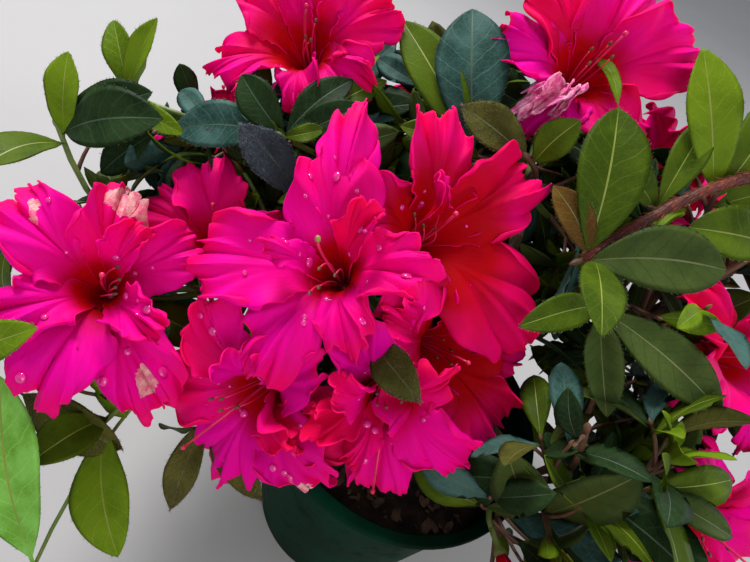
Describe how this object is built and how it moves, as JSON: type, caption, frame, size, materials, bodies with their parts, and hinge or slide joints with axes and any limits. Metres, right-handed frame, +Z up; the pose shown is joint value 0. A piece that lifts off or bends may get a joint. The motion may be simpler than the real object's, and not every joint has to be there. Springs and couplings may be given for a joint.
{
  "type": "azalea shrub in a nursery pot",
  "caption": "Azalea shrub in full bloom with a leaning trunk, spreading boughs, leafy shoots and wide frilled blooms, in a round plastic nursery pot.",
  "frame": {"origin": "centre of the pot's flat underside", "axes": "+Z up; -Y is the shrub's front; +X to the right seen from the front"},
  "size_m": [0.3622, 0.2992, 0.3074],
  "materials": {
    "pot": "satin moulded plastic",
    "potting_mix": "coarse, damp",
    "bark": "rough bark",
    "foliage": "leathery leaves",
    "petals": "soft petals"
  },
  "bodies": {
    "root": {"bloom_01": "petals", "bloom_02": "petals", "bloom_03": "petals", "bloom_04": "petals", "bloom_05": "petals", "bloom_06": "petals", "bloom_07": "petals", "bloom_08": "petals", "bloom_09": "petals", "bloom_10": "petals", "bloom_11": "petals", "bloom_12": "petals", "bloom_13": "petals", "bloom_14": "petals", "bloom_15": "petals", "bloom_16": "petals", "bloom_17": "petals", "bloom_18": "petals", "bloom_19": "petals", "bough_back": "bark", "bough_back_left": "bark", "bough_back_right": "bark", "bough_crest": "bark", "bough_front": "bark", "bough_left": "bark", "bough_right": "bark", "bough_right_front": "bark", "foliage_back": "foliage", "foliage_back_left": "foliage", "foliage_back_right": "foliage", "foliage_crest": "foliage", "foliage_front": "foliage", "foliage_left": "foliage", "foliage_right": "foliage", "foliage_right_front": "foliage", "pot": "pot", "potting_mix": "potting_mix", "trunk": "bark"}
  },
  "joints": []
}
